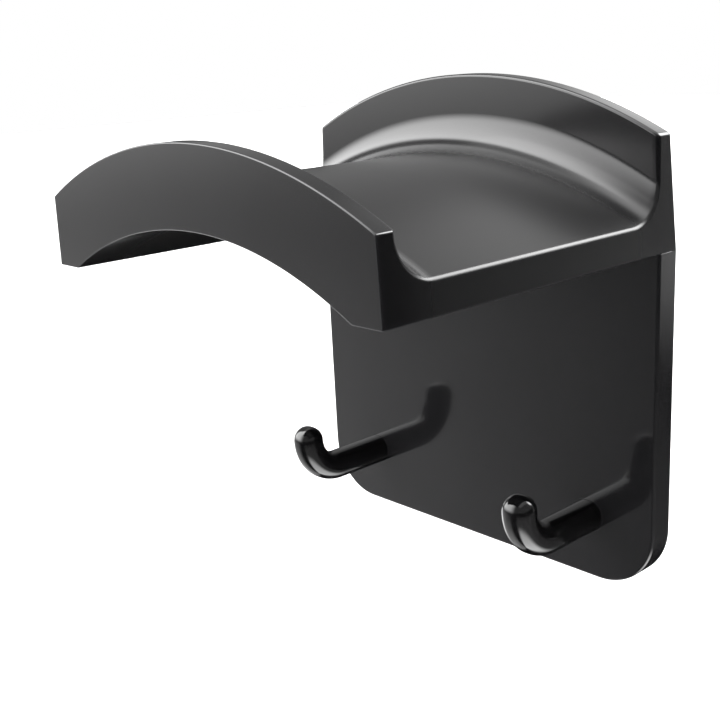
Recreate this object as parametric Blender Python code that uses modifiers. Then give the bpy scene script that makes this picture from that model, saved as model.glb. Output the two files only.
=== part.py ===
"""Wall-mounted headphone hook: an arched saddle on a back plate with two small J hooks.

Run with: blender --background --python part.py
Units are metres. +X runs across the width, +Y points into the wall and +Z is up.
The origin is the centre of the adhesive pad's face against the wall.
"""
import math

import bmesh
import bpy
from mathutils import Matrix, Vector

MM = 0.001
GAP = 0.3 * MM                  # between pieces that touch
FIT_GAP = 0.25 * MM             # round a hook's root in its socket
MERGE = 0.00001

# Overall layout
WIDTH = 80.0 * MM
HALF_WIDTH = WIDTH / 2
PAD_WIDTH = 66.0 * MM
PAD_HEIGHT = 70.0 * MM
PAD_THICKNESS = 1.0 * MM
PAD_CORNER = 5.0 * MM
BASE_Z = 20.3 * MM              # underside of the saddle's ends
BACK_Y = -(PAD_THICKNESS + GAP)  # back of the saddle and of the plate
PLATE_THICKNESS = 5.0 * MM
PLATE_FRONT_Y = BACK_Y - PLATE_THICKNESS
EDGE_ROUND = 0.5 * MM

# Saddle, heights above BASE_Z at its ends; the arch lifts them towards the middle
SADDLE_DEPTH = 65.2 * MM
LIP_Y = BACK_Y - SADDLE_DEPTH
LIP_THICKNESS = 3.2 * MM
LIP_HEIGHT = 11.6 * MM
FLOOR_HEIGHT = 4.85 * MM
FLANGE_HEIGHT = 18.0 * MM
FLANGE_LEAN = 1.4 * MM          # the back leans this far from the wall at the flange's top
END_DRAFT = 0.042               # the ends lean in by this much for each unit of height
FRONT_COVE = 6.5 * MM
REAR_COVE = 6.5 * MM
COVE_STEPS = 9
ARCH_RADIUS = 84.0 * MM
ARCH_STATIONS = 30
UNDERSIDE_RADIUS = 70.2 * MM
UNDERSIDE_HALF_SPAN = 34.35 * MM
UNDERSIDE_SIDES = 192

# Back plate and the tongue that reaches up behind the saddle
PLATE_DROP = 59.3 * MM
PLATE_CORNER = 11.0 * MM
TONGUE_HALF_WIDTH = 33.0 * MM
TONGUE_HEIGHT = 15.0 * MM
TONGUE_THICKNESS = 2.3 * MM

# Hooks, measured from the saddle's underside and the plate's front
HOOK_X = 26.7 * MM
HOOK_SECTION = 5.6 * MM
HOOK_ROUND = 2.0 * MM
HOOK_BAR_Z = BASE_Z - 47.8 * MM
HOOK_STRAIGHT = 11.8 * MM
HOOK_BEND = 7.0 * MM
HOOK_SUNK = 2.4 * MM
SOCKET_DEPTH = HOOK_SUNK + GAP

# Screws
SADDLE_SCREW = dict(head=5.5 * MM, core=2.1 * MM, crest=2.9 * MM, head_height=1.4 * MM, length=9.5 * MM)
HOOK_SCREW = dict(head=3.8 * MM, core=1.6 * MM, crest=2.2 * MM, head_height=1.0 * MM, length=11.0 * MM)
SCREW_PITCH = 1.1 * MM
SCREW_SIDES = 12
HEAD_RIM = 0.25 * MM
HEAD_SUNK = 0.2 * MM
# Across the width, with the height above BASE_Z of the slab's middle there
SADDLE_SCREW_PLACES = [(-29.0 * MM, 6.3 * MM), (-14.0 * MM, 10.7 * MM),
                       (14.0 * MM, 10.7 * MM), (29.0 * MM, 6.3 * MM)]


def clear_scene():
    for obj in list(bpy.data.objects):
        bpy.data.objects.remove(obj, do_unlink=True)


def collection(name):
    made = bpy.data.collections.new(name)
    bpy.context.scene.collection.children.link(made)
    return made


def material(name, color, roughness, metallic=0.0):
    made = bpy.data.materials.new(name)
    made.use_nodes = True
    made.diffuse_color = (*color, 1.0)
    shader = made.node_tree.nodes["Principled BSDF"]
    shader.inputs["Base Color"].default_value = (*color, 1.0)
    shader.inputs["Roughness"].default_value = roughness
    shader.inputs["Metallic"].default_value = metallic
    return made


def new_object(name, mesh, group, location=(0, 0, 0)):
    obj = bpy.data.objects.new(name, mesh)
    obj.location = location
    group.objects.link(obj)
    return obj


def as_cutter(obj):
    obj.display_type = "WIRE"
    obj.hide_render = True
    return obj


def arc(centre, radius, start, end, steps):
    """Points on an arc in a plane, with both ends, angles in degrees."""
    angles = [math.radians(start + (end - start) * i / steps) for i in range(steps + 1)]
    return [(centre[0] + radius * math.cos(a), centre[1] + radius * math.sin(a)) for a in angles]


def rounded_rectangle(half_width, half_height, radius, steps):
    points = []
    for quarter, (sx, sy) in enumerate([(1, 1), (-1, 1), (-1, -1), (1, -1)]):
        centre = (sx * (half_width - radius), sy * (half_height - radius))
        points += arc(centre, radius, 90 * quarter, 90 * quarter + 90, steps)
    return points


def flat_outline(name, points, thickness, group):
    """A filled 2D outline with a thickness, as a mesh. The outline lies in local XY."""
    curve = bpy.data.curves.new(name, "CURVE")
    curve.dimensions = "2D"
    curve.fill_mode = "BOTH"
    curve.extrude = thickness / 2
    spline = curve.splines.new("POLY")
    spline.points.add(len(points) - 1)
    for point, (x, y) in zip(spline.points, points):
        point.co = (x, y, 0, 1)
    spline.use_cyclic_u = True
    guide = new_object(name + "_outline", curve, group)
    bpy.context.view_layer.update()
    mesh = bpy.data.meshes.new_from_object(guide.evaluated_get(bpy.context.evaluated_depsgraph_get()))
    bpy.data.objects.remove(guide, do_unlink=True)
    bm = bmesh.new()
    bm.from_mesh(mesh)
    bmesh.ops.remove_doubles(bm, verts=bm.verts, dist=MERGE)
    bmesh.ops.dissolve_limit(bm, angle_limit=math.radians(1), verts=bm.verts, edges=bm.edges)
    bmesh.ops.recalc_face_normals(bm, faces=bm.faces)
    bm.to_mesh(mesh)
    bm.free()
    return new_object(name, mesh, group)


def box(name, low, high, group):
    low, high = Vector(low), Vector(high)
    bm = bmesh.new()
    bmesh.ops.create_cube(bm, size=1.0)
    bmesh.ops.scale(bm, vec=high - low, verts=bm.verts)
    bmesh.ops.translate(bm, vec=(low + high) / 2, verts=bm.verts)
    mesh = bpy.data.meshes.new(name)
    bm.to_mesh(mesh)
    bm.free()
    return new_object(name, mesh, group)


def turned(name, profile, group, sides=SCREW_SIDES):
    """A turned solid about local Z from (radius, height) points, listed from the top down."""
    mesh = bpy.data.meshes.new(name)
    corners = [(r, 0, h) for r, h in profile]
    mesh.from_pydata(corners, [(i, i + 1) for i in range(len(corners) - 1)], [])
    obj = new_object(name, mesh, group)
    turn = obj.modifiers.new("turn", "SCREW")
    turn.steps = sides
    turn.render_steps = sides
    turn.use_merge_vertices = True
    turn.merge_threshold = MERGE
    return obj


def add_bevel(obj, width, segments, angle=40):
    bevel = obj.modifiers.new("edge rounding", "BEVEL")
    bevel.width = width
    bevel.segments = segments
    bevel.limit_method = "ANGLE"
    bevel.angle_limit = math.radians(angle)


def add_boolean(obj, other, operation="DIFFERENCE"):
    boolean = obj.modifiers.new(operation.lower() + " " + other.name, "BOOLEAN")
    boolean.operation = operation
    boolean.solver = "EXACT"
    boolean.object = other


def finish(obj, surface, smooth_angle=30):
    obj.data.materials.clear()
    obj.data.materials.append(surface)
    obj.data.shade_smooth()
    obj.data.set_sharp_from_angle(angle=math.radians(smooth_angle))


def face_wall(obj, location):
    """Turn local Z, a screw's or a cutter's axis, to point at the wall, and place it."""
    obj.rotation_euler = (-math.pi / 2, 0, 0)
    obj.location = location


# ---------------------------------------------------------------- saddle

def arch_rise(x):
    """How far the arch lifts the saddle's top at a distance x from the middle."""
    return math.sqrt(ARCH_RADIUS ** 2 - x ** 2) - math.sqrt(ARCH_RADIUS ** 2 - HALF_WIDTH ** 2)


def saddle_profile():
    """The saddle's end seen from the side, as (y, height above the base) points."""
    lip_back = LIP_Y + LIP_THICKNESS
    front_centre = (lip_back + FRONT_COVE, FLOOR_HEIGHT + FRONT_COVE)
    rear_centre = (PLATE_FRONT_Y - REAR_COVE, FLOOR_HEIGHT + REAR_COVE)
    points = [(BACK_Y, 0), (LIP_Y, 0), (LIP_Y, LIP_HEIGHT), (lip_back, LIP_HEIGHT)]
    points += arc(front_centre, FRONT_COVE, 180, 270, COVE_STEPS)
    points += arc(rear_centre, REAR_COVE, 270, 360, COVE_STEPS)
    points += [(PLATE_FRONT_Y, FLANGE_HEIGHT), (BACK_Y - FLANGE_LEAN, FLANGE_HEIGHT)]
    return points


def arched_body(name, group):
    """The side profile swept across the width, drawn in by the draft and lifted by the arch."""
    bm = bmesh.new()
    face = bm.faces.new([bm.verts.new((-HALF_WIDTH, y, z)) for y, z in saddle_profile()])
    for _ in range(ARCH_STATIONS):
        swept = bmesh.ops.extrude_face_region(bm, geom=[face, *face.edges, *face.verts])["geom"]
        verts = [v for v in swept if isinstance(v, bmesh.types.BMVert)]
        bmesh.ops.translate(bm, vec=(WIDTH / ARCH_STATIONS, 0, 0), verts=verts)
        face = [f for f in swept if isinstance(f, bmesh.types.BMFace)][0]
    for vert in bm.verts:
        if vert.co.z > MERGE:
            vert.co.x *= 1 - END_DRAFT * vert.co.z / HALF_WIDTH
            vert.co.z += arch_rise(vert.co.x)
    bmesh.ops.recalc_face_normals(bm, faces=bm.faces)
    mesh = bpy.data.meshes.new(name)
    bm.to_mesh(mesh)
    bm.free()
    return new_object(name, mesh, group, (0, 0, BASE_Z))


def underside_cutter(group):
    """The round bar that leaves the open arch under the saddle, as far back as the flange."""
    length = SADDLE_DEPTH
    centre_z = BASE_Z - math.sqrt(UNDERSIDE_RADIUS ** 2 - UNDERSIDE_HALF_SPAN ** 2)
    turn = Matrix.Rotation(math.pi / 2, 4, "X")
    place = Matrix.Translation((0, PLATE_FRONT_Y - length / 2, centre_z))
    bm = bmesh.new()
    bmesh.ops.create_cone(bm, cap_ends=True, segments=UNDERSIDE_SIDES, radius1=UNDERSIDE_RADIUS,
                          radius2=UNDERSIDE_RADIUS, depth=length, matrix=place @ turn)
    mesh = bpy.data.meshes.new("underside_cutter")
    bm.to_mesh(mesh)
    bm.free()
    return as_cutter(new_object("underside_cutter", mesh, group))


def make_saddle(parts, cutters, surface):
    saddle = arched_body("saddle", parts)
    add_bevel(saddle, EDGE_ROUND, 2)
    add_boolean(saddle, underside_cutter(cutters))
    rebate = box("rebate_cutter",
                 (-TONGUE_HALF_WIDTH - GAP, BACK_Y - TONGUE_THICKNESS - GAP, BASE_Z - 2 * MM),
                 (TONGUE_HALF_WIDTH + GAP, BACK_Y + 2 * MM, BASE_Z + TONGUE_HEIGHT + GAP), cutters)
    add_boolean(saddle, as_cutter(rebate))
    for number, (x, height) in enumerate(SADDLE_SCREW_PLACES, 1):
        pilot = pilot_cutter("saddle_pilot_%d" % number, SADDLE_SCREW, cutters)
        face_wall(pilot, (x, BACK_Y, BASE_Z + height))
        add_boolean(saddle, pilot)
    finish(saddle, surface)


# ---------------------------------------------------------------- back plate

def plate_outline():
    top = -GAP
    bottom = -PLATE_DROP
    inner = HALF_WIDTH - PLATE_CORNER
    points = [(HALF_WIDTH, top), (-HALF_WIDTH, top)]
    points += arc((-inner, bottom + PLATE_CORNER), PLATE_CORNER, 180, 270, 12)
    points += arc((inner, bottom + PLATE_CORNER), PLATE_CORNER, 270, 360, 12)
    return points


def stand_up(obj, y, z):
    """Stand a flat outline up facing the front, its middle layer at y."""
    obj.data.transform(Matrix.Translation((0, y, z)) @ Matrix.Rotation(math.pi / 2, 4, "X"))


def make_back_plate(parts, cutters, surface):
    plate = flat_outline("back_plate", plate_outline(), PLATE_THICKNESS, parts)
    stand_up(plate, BACK_Y - PLATE_THICKNESS / 2, BASE_Z)
    tongue = box("tongue", (-TONGUE_HALF_WIDTH, BACK_Y - TONGUE_THICKNESS, BASE_Z - 3 * MM),
                 (TONGUE_HALF_WIDTH, BACK_Y, BASE_Z + TONGUE_HEIGHT), cutters)
    add_bevel(plate, EDGE_ROUND, 2)
    add_boolean(plate, as_cutter(tongue), "UNION")
    for number, (x, height) in enumerate(SADDLE_SCREW_PLACES, 1):
        hole = countersink_cutter("tongue_hole_%d" % number, SADDLE_SCREW, cutters)
        face_wall(hole, (x, BACK_Y, BASE_Z + height))
        add_boolean(plate, hole)
    for side, x in (("left", -HOOK_X), ("right", HOOK_X)):
        add_boolean(plate, socket_cutter("socket_" + side, x, cutters))
        hole = countersink_cutter("hook_hole_" + side, HOOK_SCREW, cutters)
        face_wall(hole, (x, BACK_Y, HOOK_BAR_Z))
        add_boolean(plate, hole)
    finish(plate, surface)


def socket_cutter(name, x, group):
    """A rounded square hole in the plate's front, the hook's section with a little room."""
    half = HOOK_SECTION / 2 + FIT_GAP
    depth = SOCKET_DEPTH + 2 * MM
    cutter = flat_outline(name, rounded_rectangle(half, half, HOOK_ROUND + FIT_GAP, 5), depth, group)
    stand_up(cutter, PLATE_FRONT_Y + SOCKET_DEPTH - depth / 2, 0)
    cutter.location = (x, 0, HOOK_BAR_Z)
    return as_cutter(cutter)


# ---------------------------------------------------------------- hooks

def hook_outline():
    """The J seen from the side: (forward from the plate's front, height from the bar's middle)."""
    half = HOOK_SECTION / 2
    bend = (HOOK_STRAIGHT, HOOK_BEND)
    tip = (HOOK_STRAIGHT + HOOK_BEND, HOOK_BEND)
    root = -HOOK_SUNK - 2 * HOOK_ROUND
    points = [(root, half), (root, -half)]
    points += arc(bend, HOOK_BEND + half, 270, 360, 14)
    points += arc(tip, half, 0, 180, 14)[1:]
    points += arc(bend, HOOK_BEND - half, 360, 270, 12)[1:]
    return points


def make_hook(side, x, parts, cutters, surface):
    hook = flat_outline("hook_" + side, hook_outline(), HOOK_SECTION, parts)
    forward = Matrix(((0, 0, 1, 0), (-1, 0, 0, PLATE_FRONT_Y), (0, 1, 0, 0), (0, 0, 0, 1)))
    hook.data.transform(forward)
    bm = bmesh.new()
    bm.from_mesh(hook.data)
    bmesh.ops.recalc_face_normals(bm, faces=bm.faces)
    bm.to_mesh(hook.data)
    bm.free()
    hook.location = (x, 0, HOOK_BAR_Z)
    add_bevel(hook, HOOK_ROUND, 4)
    root_y = PLATE_FRONT_Y + HOOK_SUNK
    trim = box("root_trim_" + side, (x - 5 * MM, root_y, HOOK_BAR_Z - 5 * MM),
               (x + 5 * MM, root_y + 6 * MM, HOOK_BAR_Z + 5 * MM), cutters)
    add_boolean(hook, as_cutter(trim))
    pilot = pilot_cutter("hook_pilot_" + side, HOOK_SCREW, cutters)
    face_wall(pilot, (x, BACK_Y, HOOK_BAR_Z))
    add_boolean(hook, pilot)
    finish(hook, surface)


# ---------------------------------------------------------------- screws

def pilot_cutter(name, size, group):
    """The hole that a screw's thread runs in, from in front of the head to past its point."""
    radius = size["crest"] / 2 + GAP
    bottom = -size["length"] - HEAD_SUNK - GAP
    profile = [(0, 3 * MM), (radius, 3 * MM), (radius, bottom + 1.2 * MM), (0, bottom)]
    return as_cutter(turned(name, profile, group))


def countersink_cutter(name, size, group):
    shank = size["crest"] / 2 + GAP
    head = size["head"] / 2 + GAP
    shoulder = -HEAD_SUNK - HEAD_RIM - GAP / 2
    cone = shoulder - (head - shank)
    profile = [(0, 2 * MM), (head, 2 * MM), (head, shoulder), (shank, cone), (shank, -8 * MM), (0, -8 * MM)]
    return as_cutter(turned(name, profile, group))


def screw_profile(size):
    """Countersunk head, thread ridges and point, from the head's face down."""
    head, core, crest = size["head"] / 2, size["core"] / 2, size["crest"] / 2
    neck = -size["head_height"]
    points = [(0, 0), (head, 0), (head, -HEAD_RIM), (core, neck)]
    height = neck - 0.3 * SCREW_PITCH
    while height - SCREW_PITCH > -size["length"] + 1.5 * MM:
        points += [(core, height), (crest, height - 0.3 * SCREW_PITCH), (core, height - 0.6 * SCREW_PITCH)]
        height -= SCREW_PITCH
    points += [(core, -size["length"] + 1.5 * MM), (0, -size["length"])]
    return points


def make_screw(name, size, location, parts, cutters, surface):
    screw = turned(name, screw_profile(size), parts)
    face_wall(screw, location + Vector((0, -HEAD_SUNK, 0)))
    blade, depth = size["head"] * 0.26, size["head_height"] * 0.5
    for number, turn in enumerate((0, math.pi / 2)):
        slot = box("%s_recess_%d" % (name, number), (-blade, -0.35 * MM, -depth), (blade, 0.35 * MM, MM), cutters)
        slot.data.transform(Matrix.Rotation(turn, 4, "Z"))
        face_wall(slot, screw.location)
        add_boolean(screw, as_cutter(slot))
    finish(screw, surface)


def make_screws(parts, cutters, surface):
    for number, (x, height) in enumerate(SADDLE_SCREW_PLACES, 1):
        place = Vector((x, BACK_Y, BASE_Z + height))
        make_screw("saddle_screw_%d" % number, SADDLE_SCREW, place, parts, cutters, surface)
    for side, x in (("left", -HOOK_X), ("right", HOOK_X)):
        make_screw("hook_screw_" + side, HOOK_SCREW, Vector((x, BACK_Y, HOOK_BAR_Z)), parts, cutters, surface)


# ---------------------------------------------------------------- adhesive pad

def make_pad(parts, surface):
    pad = flat_outline("adhesive_pad", rounded_rectangle(PAD_WIDTH / 2, PAD_HEIGHT / 2, PAD_CORNER, 8),
                       PAD_THICKNESS, parts)
    stand_up(pad, -PAD_THICKNESS / 2, 0)
    finish(pad, surface)


def main():
    clear_scene()
    parts = collection("headphone_hook")
    cutters = collection("cutters")
    make_saddle(parts, cutters, material("saddle_black", (0.035, 0.035, 0.038), 0.35))
    make_back_plate(parts, cutters, material("plate_black", (0.030, 0.030, 0.032), 0.18))
    gloss = material("hook_black", (0.012, 0.012, 0.013), 0.12)
    for side, x in (("left", -HOOK_X), ("right", HOOK_X)):
        make_hook(side, x, parts, cutters, gloss)
    make_screws(parts, cutters, material("screw_steel", (0.55, 0.55, 0.56), 0.35, 1.0))
    make_pad(parts, material("foam_pad", (0.07, 0.07, 0.07), 0.9))


main()
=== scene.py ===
import math

import bmesh
import bpy
from mathutils import Matrix, Vector


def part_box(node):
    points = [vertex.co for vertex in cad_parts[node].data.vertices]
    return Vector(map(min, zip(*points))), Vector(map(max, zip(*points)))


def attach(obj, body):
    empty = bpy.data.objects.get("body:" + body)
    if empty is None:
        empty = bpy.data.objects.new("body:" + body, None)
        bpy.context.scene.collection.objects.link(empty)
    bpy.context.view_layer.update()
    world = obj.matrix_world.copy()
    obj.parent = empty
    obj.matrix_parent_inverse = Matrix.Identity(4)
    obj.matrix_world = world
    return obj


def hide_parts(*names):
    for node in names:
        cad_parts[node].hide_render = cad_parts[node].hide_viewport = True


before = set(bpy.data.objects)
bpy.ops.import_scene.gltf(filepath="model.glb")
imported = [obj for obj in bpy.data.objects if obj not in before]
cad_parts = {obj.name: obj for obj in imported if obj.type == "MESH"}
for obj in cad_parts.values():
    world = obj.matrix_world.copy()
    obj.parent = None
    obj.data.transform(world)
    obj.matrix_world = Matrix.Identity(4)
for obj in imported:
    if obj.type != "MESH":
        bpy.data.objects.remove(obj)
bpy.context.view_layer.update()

MM = 0.001
NEAR = 0.05 * MM                # places closer than this count as the same
BODY = "root"

# Places and sizes that the CAD nodes give. The origin is the middle of the pad's face on the wall.
SADDLE_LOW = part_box("saddle")[0]
PLATE_LOW, PLATE_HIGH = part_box("back_plate")
HOOK_LOW, HOOK_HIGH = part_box("hook_right")
PAD_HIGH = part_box("adhesive_pad")[1]
HALF_WIDTH = PLATE_HIGH.x
BASE_Z = SADDLE_LOW.z           # underside of the saddle's ends
BACK_Y = PLATE_HIGH.y           # back of the saddle and of the plate
LIP_Y = SADDLE_LOW.y            # front of the saddle's lip
PLATE_FRONT_Y = PLATE_LOW.y     # front of the plate and of the saddle's flange
HOOK_X = (HOOK_LOW.x + HOOK_HIGH.x) / 2
HOOK_SECTION = HOOK_HIGH.x - HOOK_LOW.x
HOOK_BAR_Z = HOOK_LOW.z + HOOK_SECTION / 2

# Saddle, as in the CAD model: heights are above BASE_Z at the saddle's ends
LIP_THICKNESS = 3.2 * MM
LIP_HEIGHT = 11.6 * MM
FLOOR_HEIGHT = 4.85 * MM
FLANGE_HEIGHT = 18.0 * MM
FLANGE_LEAN = 1.4 * MM          # of the back, at the flange's top
END_DRAFT = 0.042               # how far each end leans in for each unit of height
FRONT_COVE = 6.5 * MM
REAR_COVE = 6.5 * MM
ARCH_RADIUS = 84.0 * MM
UNDERSIDE_RADIUS = 70.2 * MM
UNDERSIDE_HALF_SPAN = 34.35 * MM
SADDLE_STATIONS = 64            # steps across the width
COVE_STEPS = 16
UNDERSIDE_SIDES = 384
UNDERSIDE_LENGTH = 80.0 * MM    # of the cutter, longer than the saddle is deep
STANDS_OVER = 2.0 * MM          # an edge stands if its ends are further apart than this in height

# Back plate, as in the CAD model
TONGUE_HALF_WIDTH = 33.0 * MM
TONGUE_HEIGHT = 15.0 * MM
TONGUE_THICKNESS = 2.3 * MM
TONGUE_ROOT = 3.0 * MM          # how far the tongue reaches down into the plate
REBATE_GAP = 0.3 * MM
PLATE_CORNER = 11.0 * MM
CORNER_STEPS = 24
SEAM_GAP = 0.02 * MM            # between the saddle and the plate below it
PAST = 2.0 * MM                 # how far a cutter runs past the surface that it opens

# Edge roundings
RIM_ROUND = 0.5 * MM            # along the saddle's open ends and the flange's top
POST_ROUND = 0.8 * MM           # the flange's upright front edges
LIP_ROUND = 0.22 * MM           # along the lip's top
BASE_ROUND = 0.15 * MM          # where the saddle meets the plate, and round the open arch
PLATE_ROUND = 0.5 * MM
PAD_ROUND = 0.18 * MM
ROUNDING_STEPS = 4
SHARP_EDGE = 40                 # degrees: a rounding takes only sharper edges
SHARP_SHADING = 35              # degrees: shading runs smoothly over less sharp edges

# Hooks
HOOK_ROUND = 2.5 * MM           # of the section's corners
HOOK_STRAIGHT = 11.8 * MM       # from the plate's front to the bend
HOOK_BEND = 7.0 * MM            # radius at the section's middle
HOOK_SUNK = 2.4 * MM            # how far the root goes into its socket
HOOK_ROUNDING_STEPS = 10
HOOK_TRIM = 8.0 * MM            # how much is cut off behind the root, with its rounded end
SOCKET_DEPTH = 2.7 * MM
SOCKET_GAP = 0.05 * MM
SOCKET_CORNER_STEPS = 8
OUTER_BEND_STEPS = 28
INNER_BEND_STEPS = 24           # also round the tip

# Screws, sizes as in the CAD model
SADDLE_SCREW = dict(head=5.5 * MM, core=2.1 * MM, crest=2.9 * MM, head_height=1.4 * MM, length=9.5 * MM)
HOOK_SCREW = dict(head=3.8 * MM, core=1.6 * MM, crest=2.2 * MM, head_height=1.0 * MM, length=11.0 * MM)
SCREW_PITCH = 1.1 * MM
SCREW_SIDES = 32
THREAD_STEP = 0.12 * MM         # between two rings of the thread
THREAD_HALF_BASE = 0.28         # of the ridge, as a share of the pitch
THREAD_FADE = 0.8 * MM          # length over which the ridge grows and dies away
THREAD_START = 0.6 * MM         # from under the head
THREAD_END = 0.8 * MM           # from the tip
POINT_LENGTH = 1.8 * MM
POINT_RADIUS = 0.05 * MM        # of the last ring, which is as far from the tip
HEAD_RIM = 0.25 * MM            # straight part of the head's edge
HEAD_CHAMFER = 0.08 * MM
RECESS_HALF_SLOT = 0.35 * MM    # of the cross in the head
RECESS_REACH = 0.26             # half the cross's span, as a share of the head's diameter
RECESS_DEPTH = 0.55             # as a share of the head's height

# Holes for the screws
HOLE_GAP = 0.1 * MM
HEAD_GAP = 0.15 * MM
CLEARANCE_START = -3.0 * MM     # a clearance hole's cutter, measured forward from the back face
CLEARANCE_END = 9.0 * MM
CLEARANCE_SIDES = 48
PILOT_START = 0.5 * MM
PILOT_SPARE = 0.4 * MM          # past the screw's point
PILOT_SIDES = 24

# Pad
PAD_CORNER = 5.0 * MM
PAD_CORNER_STEPS = 16
PAD_GLUE_GAP = 0.01 * MM        # between the pad and the plate's back
PAD_ROUNDING_STEPS = 3

# Camera: from the right and a little above, with a slight roll. Angles are in radians.
CAMERA_FROM_BASE = Vector((133.58, -153.74, 32.62)) * MM   # from the middle of the saddle's bottom back edge
CAMERA_AZIMUTH = 0.836
CAMERA_PITCH = 0.272
CAMERA_ROLL = 0.052
CAMERA_LENS = 54.99
SENSOR = 36.0
CAMERA_NEAREST = 0.01

# Plastics: colours are linear red, green and blue
SADDLE_LOOK = dict(colour=(0.0030, 0.0029, 0.0032), worn_colour=(0.024, 0.024, 0.026),
                   roughness=0.16, grain=0.012, wear=0.5)
PLATE_LOOK = dict(colour=(0.0055, 0.0054, 0.0058), worn_colour=(0.028, 0.028, 0.030),
                  roughness=0.10, grain=0.008, wear=0.5)
HOOK_LOOK = dict(colour=(0.0030, 0.0029, 0.0031), worn_colour=(0.015, 0.015, 0.016),
                 roughness=0.10, grain=0.02, wear=0.4)
PLASTIC_IOR = 1.5
PALER = 1.22                    # the cloudy tone's paler colour against its darker one
WEAR_RADIUS = 0.5 * MM          # edges rounded about this much are rubbed
RUBBED_ROUGHER = 0.13           # added to the roughness where the headband rubs

# Studio surroundings. Each panel has its turns, its heights and its level. Turns and heights are in degrees:
# where the light starts and is full, then where it ends and is still full. Empty turns go all the way round.
PANELS = {
    "key": ((-5, 50, 86, 74), (-10, 15, 100, 60), 8.4),
    "fill": ((18, 66, 122, 106), (-2, -14), 1.15),
    "top": ((), (66, 88), 3.0),
    "sky": ((), (0, 12), 0.38),
    "back": ((142, 162, 185, 178), (2, 9, 50, 20), 2.2),
    "side": ((-178, -165, -135, -155), (-14, -6, 20, 8), 0.5),
    "slot": ((-176, -166, -136, -145), (-17, -11, -8, -10.5), 0.75),
    "right": ((-176, -110, -5, -25), (-12, -30), 0.45),
    "bounce": ((-176, -130, -10, -40), (-38, -58), 6.0),
    "left": ((84, 96, 124, 112), (-50, -25, 14, 2), 2.5),
}
RIM_GLOW = dict(turn=-155, rise=35, reach=22, core=8, level=14.0)
BASE_LEVEL = 0.02
FLOOR_Z = -0.30
FLOOR_REACH = 6.0               # from its middle to each side
WASH_HEIGHT = 2.5               # of the lamp, in the middle above everything
WASH_SIZE = 4.0
WASH_POWER = 40.0


# ---------------------------------------------------------------- mesh helpers

def link(obj):
    bpy.context.scene.collection.objects.link(obj)
    return obj


def object_from(name, bm):
    mesh = bpy.data.meshes.new(name)
    bm.to_mesh(mesh)
    bm.free()
    return link(bpy.data.objects.new(name, mesh))


def arc(centre, radius, start, end, steps):
    """Points on an arc in a plane, with both ends, angles in degrees."""
    angles = [math.radians(start + (end - start) * i / steps) for i in range(steps + 1)]
    return [(centre[0] + radius * math.cos(a), centre[1] + radius * math.sin(a)) for a in angles]


def rounded_rectangle(half_width, half_height, radius, steps):
    points = []
    for quarter, (sx, sy) in enumerate([(1, 1), (-1, 1), (-1, -1), (1, -1)]):
        centre = (sx * (half_width - radius), sy * (half_height - radius))
        points += arc(centre, radius, 90 * quarter, 90 * quarter + 90, steps)
    return points


def slab(name, points, low, high, place):
    """A flat outline given a thickness from low to high. place(a, b, depth) gives a corner in the frame."""
    bm = bmesh.new()
    face = bm.faces.new([bm.verts.new(place(a, b, low)) for a, b in points])
    swept = bmesh.ops.extrude_face_region(bm, geom=[face, *face.edges, *face.verts])["geom"]
    step = Vector(place(0, 0, high)) - Vector(place(0, 0, low))
    bmesh.ops.translate(bm, vec=step, verts=[v for v in swept if isinstance(v, bmesh.types.BMVert)])
    bmesh.ops.recalc_face_normals(bm, faces=bm.faces)
    return object_from(name, bm)


def box(name, low, high):
    low, high = Vector(low), Vector(high)
    bm = bmesh.new()
    bmesh.ops.create_cube(bm, size=1.0)
    bmesh.ops.scale(bm, vec=high - low, verts=bm.verts)
    bmesh.ops.translate(bm, vec=(low + high) / 2, verts=bm.verts)
    return object_from(name, bm)


def add_bevel(obj, width, segments, limit="ANGLE"):
    bevel = obj.modifiers.new("edge rounding", "BEVEL")
    bevel.width = width
    bevel.segments = segments
    bevel.limit_method = limit
    bevel.angle_limit = math.radians(SHARP_EDGE)
    bevel.miter_outer = "MITER_ARC"
    return bevel


def add_weighted_bevel(obj, radius_of):
    """Round each sharp edge by its own radius. radius_of(a, b) gives it from the edge's two ends."""
    bm = bmesh.new()
    bm.from_mesh(obj.data)
    weight = bm.edges.layers.float.new("bevel_weight_edge")
    sharp = [e for e in bm.edges if e.is_manifold and e.calc_face_angle_signed() > math.radians(SHARP_EDGE)]
    radii = [radius_of(*(vert.co for vert in edge.verts)) for edge in sharp]
    widest = max(radii)
    for edge, radius in zip(sharp, radii):
        edge[weight] = radius / widest
    bm.to_mesh(obj.data)
    bm.free()
    # Clamping would shrink every rounding to suit the shortest edge
    add_bevel(obj, widest, ROUNDING_STEPS, limit="WEIGHT").use_clamp_overlap = False


def add_boolean(obj, other, operation="DIFFERENCE"):
    boolean = obj.modifiers.new(operation.lower(), "BOOLEAN")
    boolean.operation = operation
    boolean.solver = "EXACT"
    boolean.object = other


def apply_modifiers(obj, *cutters):
    """Make the modifiers' result the object's own mesh, and remove the cutters."""
    bpy.context.view_layer.update()
    graph = bpy.context.evaluated_depsgraph_get()
    mesh = bpy.data.meshes.new_from_object(obj.evaluated_get(graph))
    obj.modifiers.clear()
    obj.data = mesh
    mesh.name = obj.name
    for cutter in cutters:
        bpy.data.objects.remove(cutter, do_unlink=True)


def cut_out(obj, *cutters):
    for cutter in cutters:
        add_boolean(obj, cutter)
    apply_modifiers(obj, *cutters)


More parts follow.
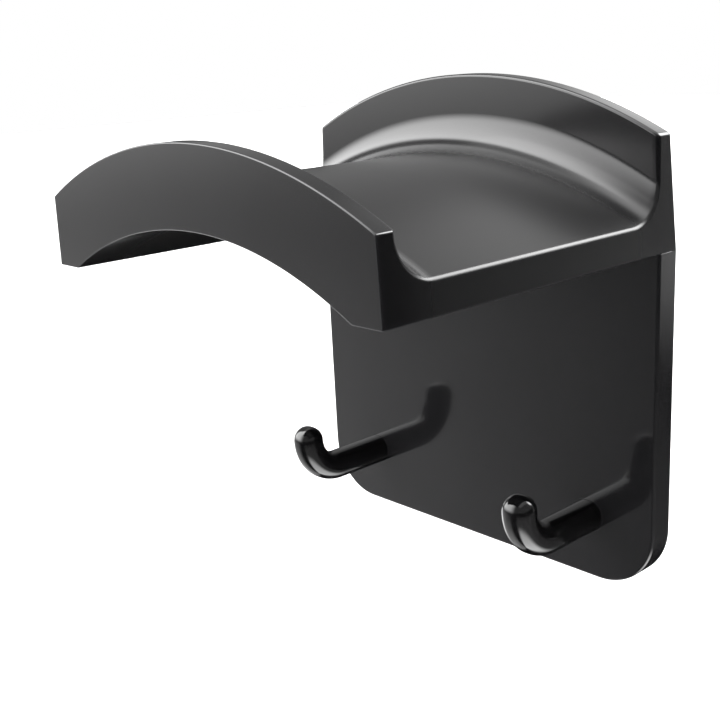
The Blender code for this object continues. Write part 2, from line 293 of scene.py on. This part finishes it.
def finish_piece(obj, surface, nodes):
    """Smooth shading that keeps flat faces flat, a material, and the CAD nodes that the piece stands for."""
    obj.data.shade_smooth()
    obj.data.set_sharp_from_angle(angle=math.radians(SHARP_SHADING))
    weights = obj.modifiers.new("weighted normals", "WEIGHTED_NORMAL")
    weights.keep_sharp = True
    weights.weight = 100
    obj.data.materials.clear()
    obj.data.materials.append(surface)
    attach(obj, BODY)
    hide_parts(*nodes)


# ---------------------------------------------------------------- materials

class Nodes:
    """A short way to write a material's node tree."""

    def __init__(self, tree):
        self.tree = tree

    def add(self, kind, **values):
        """A new node. Each value is one of the node's own settings or, if it has none so named, an input."""
        node = self.tree.nodes.new(kind)
        for key, value in values.items():
            if hasattr(node, key):
                setattr(node, key, value)
            else:
                node.inputs[key.replace("_", " ")].default_value = value
        return node

    def link(self, source, target):
        self.tree.links.new(source, target)

    def noise(self, coordinates, scale, detail=3.0):
        node = self.add("ShaderNodeTexNoise", Scale=scale, Detail=detail)
        self.link(coordinates, node.inputs["Vector"])
        return node.outputs["Fac"]

    def spread(self, value, low_in, high_in, low_out=0.0, high_out=1.0):
        """The value moved from the range low_in to high_in into the range low_out to high_out, and held there."""
        node = self.add("ShaderNodeMapRange")
        for index, number in enumerate((low_in, high_in, low_out, high_out), 1):
            node.inputs[index].default_value = number
        self.link(value, node.inputs[0])
        return node.outputs[0]

    def mix(self, factor, first, second):
        """A colour between two others. Sockets 6, 7 and output 2 are the Mix node's colours."""
        node = self.add("ShaderNodeMix", data_type="RGBA")
        self.link(factor, node.inputs["Factor"])
        for value, socket in ((first, node.inputs[6]), (second, node.inputs[7])):
            if isinstance(value, tuple):
                socket.default_value = (*value, 1.0)
            else:
                self.link(value, socket)
        return node.outputs[2]

    def soft_step(self, value, start, end):
        """0 before start and 1 after end, with a smooth change between them."""
        node = self.add("ShaderNodeMapRange", interpolation_type="SMOOTHSTEP")
        node.inputs[1].default_value = start
        node.inputs[2].default_value = end
        self.link(value, node.inputs[0])
        return node.outputs[0]

    def math(self, operation, *values):
        """A Math node. Each value is a number or another node's output."""
        node = self.add("ShaderNodeMath", operation=operation)
        for value, socket in zip(values, node.inputs):
            if isinstance(value, (int, float)):
                socket.default_value = value
            else:
                self.link(value, socket)
        return node.outputs[0]

    def edge_mask(self, radius, strength):
        """The strength on rounded edges, falling to 0 on flat faces."""
        rounded = self.add("ShaderNodeBevel", samples=4, Radius=radius)
        plain = self.add("ShaderNodeNewGeometry").outputs["Normal"]
        alike = self.add("ShaderNodeVectorMath", operation="DOT_PRODUCT")
        self.link(rounded.outputs["Normal"], alike.inputs[0])
        self.link(plain, alike.inputs[1])
        return self.spread(alike.outputs["Value"], 0.995, 0.90, 0.0, strength)

    def bump(self, height, strength, distance, normal=None):
        node = self.add("ShaderNodeBump", Strength=strength, Distance=distance)
        self.link(height, node.inputs["Height"])
        if normal:
            self.link(normal, node.inputs["Normal"])
        return node.outputs["Normal"]


def new_material(name):
    made = bpy.data.materials.new(name)
    made.use_nodes = True
    nodes = Nodes(made.node_tree)
    shader = made.node_tree.nodes["Principled BSDF"]
    place = nodes.add("ShaderNodeTexCoord").outputs["Object"]
    return made, nodes, shader, place


def moulded_plastic(name, colour, worn_colour, roughness, grain, wear, rubbed=None):
    """Moulded black plastic: a fine spark-eroded grain, faint flow streaks, uneven sheen and rubbed edges.

    rubbed is a stretch along Y where a headband has dulled the surface: where it starts and is full, then
    where it is still full and ends.
    """
    made, nodes, shader, place = new_material(name)
    cloud = nodes.noise(place, scale=55.0)
    fine = nodes.noise(place, scale=2600.0, detail=2.0)
    stretched = nodes.add("ShaderNodeMapping", Scale=(40.0, 90.0, 60.0))
    nodes.link(place, stretched.inputs["Vector"])
    streaks = nodes.noise(stretched.outputs["Vector"], scale=1.0)
    worn = nodes.edge_mask(WEAR_RADIUS, wear)
    toned = nodes.mix(nodes.spread(cloud, 0.3, 0.7), colour, tuple(c * PALER for c in colour))
    nodes.link(nodes.mix(worn, toned, worn_colour), shader.inputs["Base Color"])
    sheen = nodes.spread(streaks, 0.1, 0.9, roughness * 0.88, roughness * 1.12)
    if rubbed:
        depth = nodes.add("ShaderNodeSeparateXYZ")
        nodes.link(place, depth.inputs[0])
        start, full, still_full, end = rubbed
        front = nodes.spread(depth.outputs["Y"], start, full, 0.0, RUBBED_ROUGHER)
        rear = nodes.spread(depth.outputs["Y"], still_full, end, 1.0, 0.0)
        sheen = nodes.math("MULTIPLY_ADD", front, rear, sheen)
    nodes.link(sheen, shader.inputs["Roughness"])
    grainy = nodes.bump(fine, strength=grain, distance=0.02 * MM)
    wavy = nodes.bump(cloud, strength=0.05, distance=0.05 * MM, normal=grainy)
    nodes.link(wavy, shader.inputs["Normal"])
    shader.inputs["IOR"].default_value = PLASTIC_IOR
    return made


def steel(name):
    """Zinc-plated screw steel with turning lines round its axis."""
    made, nodes, shader, place = new_material(name)
    turned = nodes.add("ShaderNodeMapping", Scale=(900.0, 120.0, 900.0))
    nodes.link(place, turned.inputs["Vector"])
    lines = nodes.noise(turned.outputs["Vector"], scale=3.0)
    spots = nodes.noise(place, scale=420.0)
    shader.inputs["Metallic"].default_value = 1.0
    colour = nodes.mix(nodes.spread(spots, 0.35, 0.7), (0.50, 0.50, 0.51), (0.62, 0.61, 0.59))
    nodes.link(colour, shader.inputs["Base Color"])
    nodes.link(nodes.spread(lines, 0.3, 0.7, 0.24, 0.42), shader.inputs["Roughness"])
    nodes.link(nodes.bump(lines, strength=0.15, distance=0.01 * MM), shader.inputs["Normal"])
    return made


def foam(name):
    """Closed-cell foam tape: small cells on the cut edge and a tacky, slightly uneven face."""
    made, nodes, shader, place = new_material(name)
    cells = nodes.add("ShaderNodeTexVoronoi", Scale=2400.0)
    nodes.link(place, cells.inputs["Vector"])
    ripple = nodes.noise(place, scale=130.0, detail=4.0)
    tone = nodes.spread(cells.outputs["Distance"], 0.0, 0.6)
    nodes.link(nodes.mix(tone, (0.016, 0.016, 0.017), (0.038, 0.038, 0.040)), shader.inputs["Base Color"])
    nodes.link(nodes.spread(ripple, 0.3, 0.7, 0.48, 0.72), shader.inputs["Roughness"])
    pitted = nodes.bump(cells.outputs["Distance"], strength=0.35, distance=0.05 * MM)
    rippled = nodes.bump(ripple, strength=0.25, distance=0.15 * MM, normal=pitted)
    nodes.link(rippled, shader.inputs["Normal"])
    return made


# ---------------------------------------------------------------- saddle

def arch_rise(x):
    """How far the arch lifts the saddle's top at a distance x from the middle."""
    return math.sqrt(ARCH_RADIUS ** 2 - x ** 2) - math.sqrt(ARCH_RADIUS ** 2 - HALF_WIDTH ** 2)


def saddle_profile():
    """The saddle's end seen from the side, as (y, height above the base) points."""
    lip_back = LIP_Y + LIP_THICKNESS
    front_centre = (lip_back + FRONT_COVE, FLOOR_HEIGHT + FRONT_COVE)
    rear_centre = (PLATE_FRONT_Y - REAR_COVE, FLOOR_HEIGHT + REAR_COVE)
    points = [(BACK_Y, 0), (LIP_Y, 0), (LIP_Y, LIP_HEIGHT), (lip_back, LIP_HEIGHT)]
    points += arc(front_centre, FRONT_COVE, 180, 270, COVE_STEPS)
    points += arc(rear_centre, REAR_COVE, 270, 360, COVE_STEPS)
    points += [(PLATE_FRONT_Y, FLANGE_HEIGHT), (BACK_Y - FLANGE_LEAN, FLANGE_HEIGHT)]
    return points


def swept_saddle():
    """The side profile swept across the width, drawn in by the draft and lifted by the arch."""
    bm = bmesh.new()
    face = bm.faces.new([bm.verts.new((-HALF_WIDTH, y, z)) for y, z in saddle_profile()])
    for _ in range(SADDLE_STATIONS):
        swept = bmesh.ops.extrude_face_region(bm, geom=[face, *face.edges, *face.verts])["geom"]
        verts = [v for v in swept if isinstance(v, bmesh.types.BMVert)]
        bmesh.ops.translate(bm, vec=(2 * HALF_WIDTH / SADDLE_STATIONS, 0, 0), verts=verts)
        face = [f for f in swept if isinstance(f, bmesh.types.BMFace)][0]
    for vert in bm.verts:
        if vert.co.z > NEAR:
            vert.co.x *= 1 - END_DRAFT * vert.co.z / HALF_WIDTH
            vert.co.z += arch_rise(vert.co.x)
    bmesh.ops.translate(bm, vec=(0, 0, BASE_Z), verts=bm.verts)
    bmesh.ops.recalc_face_normals(bm, faces=bm.faces)
    return object_from("saddle_moulding", bm)


def underside_cutter():
    """The round bar that leaves the open arch under the saddle, as far back as the flange."""
    centre_z = BASE_Z - math.sqrt(UNDERSIDE_RADIUS ** 2 - UNDERSIDE_HALF_SPAN ** 2)
    middle = Matrix.Translation((0, PLATE_FRONT_Y - UNDERSIDE_LENGTH / 2, centre_z))
    bm = bmesh.new()
    bmesh.ops.create_cone(bm, cap_ends=True, segments=UNDERSIDE_SIDES, radius1=UNDERSIDE_RADIUS,
                          radius2=UNDERSIDE_RADIUS, depth=UNDERSIDE_LENGTH,
                          matrix=middle @ Matrix.Rotation(math.pi / 2, 4, "X"))
    return object_from("underside_cutter", bm)


def saddle_rounding(a, b):
    """The rounding of the saddle's edge between two points."""
    heights = [p.z - BASE_Z - arch_rise(p.x) for p in (a, b)]
    at_end = all(abs(abs(p.x) + END_DRAFT * h - HALF_WIDTH) < NEAR for p, h in zip((a, b), heights))
    at_base = all(p.z < BASE_Z + NEAR for p in (a, b))
    stands = max(heights) < FLANGE_HEIGHT + NEAR and abs(heights[0] - heights[1]) > STANDS_OVER
    if at_base or (stands and max(a.y, b.y) < LIP_Y + NEAR):
        return BASE_ROUND
    if at_end and stands and abs((a.y + b.y) / 2 - PLATE_FRONT_Y) < NEAR:
        return POST_ROUND
    if all(abs(h - LIP_HEIGHT) < NEAR for h in heights):
        return LIP_ROUND
    if at_end or all(abs(h - FLANGE_HEIGHT) < NEAR for h in heights):
        return RIM_ROUND
    return BASE_ROUND


def make_saddle(surface):
    """The cradle for the headband, with a rebate for the plate's tongue and a pilot hole for each screw."""
    saddle = swept_saddle()
    cut_out(saddle, underside_cutter())
    add_weighted_bevel(saddle, saddle_rounding)
    rebate_edge = TONGUE_HALF_WIDTH + REBATE_GAP
    rebate = box("rebate", (-rebate_edge, BACK_Y - TONGUE_THICKNESS - REBATE_GAP, BASE_Z - PAST),
                 (rebate_edge, BACK_Y + PAST, BASE_Z + TONGUE_HEIGHT + REBATE_GAP))
    cut_out(saddle, rebate, *pilot_holes("saddle_screw"))
    finish_piece(saddle, surface, ["saddle"])


# ---------------------------------------------------------------- back plate

def plate_outline():
    top, bottom = BASE_Z - SEAM_GAP, PLATE_LOW.z
    inner = HALF_WIDTH - PLATE_CORNER
    points = [(HALF_WIDTH, top), (-HALF_WIDTH, top)]
    points += arc((-inner, bottom + PLATE_CORNER), PLATE_CORNER, 180, 270, CORNER_STEPS)
    points += arc((inner, bottom + PLATE_CORNER), PLATE_CORNER, 270, 360, CORNER_STEPS)
    return points


def upright(a, b, depth):
    """A corner of an outline that stands facing the front: across, up, and the depth along Y."""
    return (a, depth, b)


def screw_places():
    """Each screw's CAD node, with the middle of its head's face and its size."""
    screws = [("saddle_screw_%d" % number, SADDLE_SCREW) for number in (1, 2, 3, 4)]
    screws += [("hook_screw_" + side, HOOK_SCREW) for side in ("left", "right")]
    places = []
    for name, size in screws:
        low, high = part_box(name)
        places.append((name, Vector(((low.x + high.x) / 2, high.y, (low.z + high.z) / 2)), size))
    return places


def plate_rounding(a, b):
    """The rounding of the plate's edge between two points: less along the seam with the saddle."""
    return BASE_ROUND if min(a.z, b.z) > BASE_Z - MM else PLATE_ROUND


def make_plate(surface):
    """The plate with its tongue, a socket for each hook's root and a countersunk hole for each screw."""
    plate = slab("back_plate_moulding", plate_outline(), PLATE_FRONT_Y, BACK_Y, upright)
    add_weighted_bevel(plate, plate_rounding)
    tongue = box("tongue", (-TONGUE_HALF_WIDTH, BACK_Y - TONGUE_THICKNESS, BASE_Z - TONGUE_ROOT),
                 (TONGUE_HALF_WIDTH, BACK_Y, BASE_Z + TONGUE_HEIGHT))
    add_boolean(plate, tongue, "UNION")
    half = HOOK_SECTION / 2 + SOCKET_GAP
    section = rounded_rectangle(half, half, HOOK_ROUND + SOCKET_GAP, SOCKET_CORNER_STEPS)
    cutters = []
    for x in (-HOOK_X, HOOK_X):
        outline = [(a + x, b + HOOK_BAR_Z) for a, b in section]
        cutters.append(slab("socket", outline, PLATE_FRONT_Y - PAST, PLATE_FRONT_Y + SOCKET_DEPTH, upright))
    cutters += [countersink(place, size) for _, place, size in screw_places()]
    cut_out(plate, *cutters)
    bpy.data.objects.remove(tongue, do_unlink=True)
    finish_piece(plate, surface, ["back_plate"])


# ---------------------------------------------------------------- hooks

def hook_outline():
    """The J seen from the side: (forward from the plate's front, height from the bar's middle)."""
    half = HOOK_SECTION / 2
    bend = (HOOK_STRAIGHT, HOOK_BEND)
    tip = (HOOK_STRAIGHT + HOOK_BEND, HOOK_BEND)
    root = -HOOK_SUNK - 2 * HOOK_ROUND
    points = [(root, half), (root, -half)]
    points += arc(bend, HOOK_BEND + half, 270, 360, OUTER_BEND_STEPS)
    points += arc(tip, half, 0, 180, INNER_BEND_STEPS)[1:]
    points += arc(bend, HOOK_BEND - half, 360, 270, INNER_BEND_STEPS)[1:]
    return points


def make_hook(side, x, surface):
    """A J hook, rounded first and then cut square at its root."""
    def sideways(forward, up, depth):
        return (x + depth, PLATE_FRONT_Y - forward, HOOK_BAR_Z + up)
    hook = slab("hook_moulding_" + side, hook_outline(), -HOOK_SECTION / 2, HOOK_SECTION / 2, sideways)
    add_bevel(hook, HOOK_ROUND, HOOK_ROUNDING_STEPS)
    root_y = PLATE_FRONT_Y + HOOK_SUNK
    reach = HOOK_SECTION
    trim = box("root_trim", (x - reach, root_y, HOOK_BAR_Z - reach),
               (x + reach, root_y + HOOK_TRIM, HOOK_BAR_Z + reach))
    cut_out(hook, trim, *pilot_holes("hook_screw_" + side))
    finish_piece(hook, surface, ["hook_" + side])


# ---------------------------------------------------------------- screws

def mesh_of_rings(rings):
    """Rings of points, listed from the first pole to the last, joined into one closed surface."""
    bm = bmesh.new()
    rows = [[bm.verts.new(p) for p in ring] for ring in rings]
    for upper, lower in zip(rows, rows[1:]):
        count = max(len(upper), len(lower))
        for i in range(count):
            j = (i + 1) % count
            corners = [upper[i % len(upper)], upper[j % len(upper)], lower[j % len(lower)], lower[i % len(lower)]]
            bm.faces.new(list(dict.fromkeys(corners)))
    bmesh.ops.recalc_face_normals(bm, faces=bm.faces)
    return bm


def around(place, radius, depth, sides):
    """A ring about an axis along Y, at a depth in front of the place.

    The radius is a number, or a function of the share of a turn.
    """
    points = []
    for i in range(sides):
        turn = i / sides
        r = radius(turn) if callable(radius) else radius
        angle = 2 * math.pi * turn
        points.append((place.x + r * math.cos(angle), place.y - depth, place.z + r * math.sin(angle)))
    return points


def countersink(place, size):
    """The hole for a screw's head and shank through the plate or the tongue."""
    shank, head = size["crest"] / 2 + HOLE_GAP, size["head"] / 2 + HEAD_GAP
    shoulder = HEAD_RIM + HOLE_GAP
    steps = [(head, CLEARANCE_START), (head, shoulder), (shank, shoulder + head - shank), (shank, CLEARANCE_END)]
    rings = [[(place.x, place.y - CLEARANCE_START, place.z)]]
    rings += [around(place, radius, depth, CLEARANCE_SIDES) for radius, depth in steps]
    rings += [[(place.x, place.y - CLEARANCE_END, place.z)]]
    return object_from("countersink", mesh_of_rings(rings))


def pilot_hole(place, size):
    """The hole in the plastic that a screw's thread cuts into."""
    radius, end = size["core"] / 2 + HOLE_GAP, size["length"] + PILOT_SPARE
    rings = [[(place.x, place.y - PILOT_START, place.z)], around(place, radius, PILOT_START, PILOT_SIDES),
             around(place, radius, end - radius, PILOT_SIDES), [(place.x, place.y - end, place.z)]]
    return object_from("pilot_hole", mesh_of_rings(rings))


def pilot_holes(start_of_name):
    """A cutter for each screw whose name starts so."""
    return [pilot_hole(place, size) for name, place, size in screw_places() if name.startswith(start_of_name)]


def thread_radius(size, depth, turn):
    """The thread's radius at a depth and a share of a turn: a V ridge that climbs one pitch a turn."""
    phase = (depth / SCREW_PITCH - turn) % 1.0
    ridge = max(0.0, 1.0 - abs(phase - 0.5) / THREAD_HALF_BASE)
    start, end = size["head_height"] + THREAD_START, size["length"] - THREAD_END
    fade = max(0.0, min(1.0, (depth - start) / THREAD_FADE, (end - depth) / THREAD_FADE))
    taper = min(1.0, (size["length"] - depth) / POINT_LENGTH)
    core, crest = size["core"] / 2, size["crest"] / 2
    return max(POINT_RADIUS, core * taper + (crest - core) * ridge * fade * taper)


def make_screw(name, place, size, surface):
    """A countersunk self-tapping screw with a helical thread, a point and a cross recess."""
    head, under_head = size["head"] / 2, size["head_height"]
    shank = size["length"] - under_head
    profile = [(head * 0.5, 0), (head - HEAD_CHAMFER, 0), (head, HEAD_CHAMFER), (head, HEAD_RIM)]
    rings = [[(place.x, place.y, place.z)]]
    rings += [around(place, radius, depth, SCREW_SIDES) for radius, depth in profile]
    steps = int(shank / THREAD_STEP)
    for i in range(steps + 1):
        depth = under_head + (shank - POINT_RADIUS) * i / steps
        rings.append(around(place, lambda turn, d=depth: thread_radius(size, d, turn), depth, SCREW_SIDES))
    rings.append([(place.x, place.y - size["length"], place.z)])
    screw = object_from(name.replace("screw", "thread_screw"), mesh_of_rings(rings))
    reach, deep = size["head"] * RECESS_REACH, under_head * RECESS_DEPTH
    slots = []
    for turn in (0, math.pi / 2):
        slot = box("recess", (-reach, -deep, -RECESS_HALF_SLOT), (reach, MM, RECESS_HALF_SLOT))
        slot.data.transform(Matrix.Translation(place) @ Matrix.Rotation(turn, 4, "Y"))
        slots.append(slot)
    cut_out(screw, *slots)
    finish_piece(screw, surface, [name])


# ---------------------------------------------------------------- adhesive pad

def make_pad(surface):
    """Foam tape with soft cut edges, from just behind the plate to the wall."""
    outline = rounded_rectangle(PAD_HIGH.x, PAD_HIGH.z, PAD_CORNER, PAD_CORNER_STEPS)
    pad = slab("foam_pad", outline, BACK_Y + PAD_GLUE_GAP, PAD_HIGH.y, upright)
    add_bevel(pad, PAD_ROUND, PAD_ROUNDING_STEPS)
    apply_modifiers(pad)
    finish_piece(pad, surface, ["adhesive_pad"])


# ---------------------------------------------------------------- studio

def make_camera():
    data = bpy.data.cameras.new("camera")
    data.sensor_width = SENSOR
    data.lens = CAMERA_LENS
    data.clip_start = CAMERA_NEAREST
    camera = link(bpy.data.objects.new("camera", data))
    turn = (Matrix.Rotation(CAMERA_AZIMUTH, 4, "Z") @ Matrix.Rotation(math.pi / 2 - CAMERA_PITCH, 4, "X")
            @ Matrix.Rotation(-CAMERA_ROLL, 4, "Z"))
    camera.matrix_world = Matrix.Translation(Vector((0, BACK_Y, BASE_Z)) + CAMERA_FROM_BASE) @ turn
    bpy.context.scene.camera = camera


def glow(nodes, direction, turn, rise, reach, core, level):
    """A round soft light in the sky, out to reach degrees from its centre and full within core degrees."""
    turn, rise, reach, core = (math.radians(angle) for angle in (turn, rise, reach, core))
    nearness = nodes.add("ShaderNodeVectorMath", operation="DOT_PRODUCT")
    nearness.inputs[1].default_value = (-math.sin(turn) * math.cos(rise), -math.cos(turn) * math.cos(rise),
                                        math.sin(rise))
    nodes.link(direction, nearness.inputs[0])
    step = nodes.soft_step(nearness.outputs["Value"], math.cos(reach), math.cos(core))
    return nodes.math("MULTIPLY", step, level)


def panel(nodes, azimuth, elevation, turns, heights, level):
    """A soft-edged panel in the sky, from its turns and heights as PANELS gives them."""
    strength = level
    for value, edges in ((azimuth, turns), (elevation, heights)):
        for dark, full in zip(edges[::2], edges[1::2]):
            strength = nodes.math("MULTIPLY", nodes.soft_step(value, dark, full), strength)
    return strength


def make_world():
    """Soft studio surroundings, white where the camera sees past the floor.

    Turns run from the front, 0, towards the left, 90, in degrees.
    """
    world = bpy.data.worlds.new("studio")
    bpy.context.scene.world = world
    world.use_nodes = True
    nodes = Nodes(world.node_tree)
    background = world.node_tree.nodes["Background"]
    direction = nodes.add("ShaderNodeTexCoord").outputs["Generated"]
    parts = nodes.add("ShaderNodeSeparateXYZ")
    nodes.link(direction, parts.inputs[0])
    leftward = nodes.math("MULTIPLY", parts.outputs["X"], -1.0)
    forward = nodes.math("MULTIPLY", parts.outputs["Y"], -1.0)
    azimuth = nodes.math("DEGREES", nodes.math("ARCTAN2", leftward, forward))
    elevation = nodes.math("DEGREES", nodes.math("ARCSINE", parts.outputs["Z"]))
    lights = [panel(nodes, azimuth, elevation, *sizes) for sizes in PANELS.values()]
    lights.append(glow(nodes, direction, **RIM_GLOW))
    total = BASE_LEVEL
    for light in lights:
        total = nodes.math("ADD", light, total)
    seen = nodes.add("ShaderNodeLightPath").outputs["Is Camera Ray"]
    blend = nodes.add("ShaderNodeMix", data_type="FLOAT")
    nodes.link(seen, blend.inputs["Factor"])
    nodes.link(total, blend.inputs[2])
    blend.inputs[3].default_value = 1.0
    nodes.link(blend.outputs[0], background.inputs["Strength"])
    background.inputs["Color"].default_value = (1.0, 1.0, 1.0, 1.0)


def make_floor():
    bm = bmesh.new()
    bmesh.ops.create_grid(bm, x_segments=1, y_segments=1, size=FLOOR_REACH)
    floor = object_from("studio_floor", bm)
    floor.location = (0, 0, FLOOR_Z)
    made, nodes, shader, place = new_material("pale_floor")
    mottled = nodes.spread(nodes.noise(place, scale=3.0), 0.3, 0.7)
    nodes.link(nodes.mix(mottled, (0.90, 0.90, 0.90), (0.93, 0.93, 0.93)), shader.inputs["Base Color"])
    shader.inputs["Roughness"].default_value = 0.9
    shader.inputs["Specular IOR Level"].default_value = 0.1
    floor.data.materials.append(made)
    floor.visible_glossy = False


def make_floor_wash():
    """A square lamp overhead that keeps the floor pale. A new lamp already points straight down."""
    data = bpy.data.lights.new("floor_wash", "AREA")
    data.shape = "SQUARE"
    data.size = WASH_SIZE
    data.energy = WASH_POWER
    link(bpy.data.objects.new("floor_wash", data)).location = (0, 0, WASH_HEIGHT)


def make_studio():
    make_world()
    make_floor()
    make_camera()
    make_floor_wash()
    bpy.context.scene.view_settings.view_transform = "Standard"


def main():
    trough_front, trough_back = LIP_Y + LIP_THICKNESS, PLATE_FRONT_Y
    rubbed = (trough_front, trough_front + FRONT_COVE,
              trough_back - 0.9 * REAR_COVE, trough_back - 0.3 * REAR_COVE)
    saddle_black = moulded_plastic("saddle_black", **SADDLE_LOOK, rubbed=rubbed)
    plate_black = moulded_plastic("plate_black", **PLATE_LOOK)
    hook_black = moulded_plastic("hook_black", **HOOK_LOOK)
    make_saddle(saddle_black)
    make_plate(plate_black)
    for side, x in (("left", -HOOK_X), ("right", HOOK_X)):
        make_hook(side, x, hook_black)
    screw_steel = steel("screw_steel")
    for name, place, size in screw_places():
        make_screw(name, place, size, screw_steel)
    make_pad(foam("pad_foam"))
    make_studio()


main()
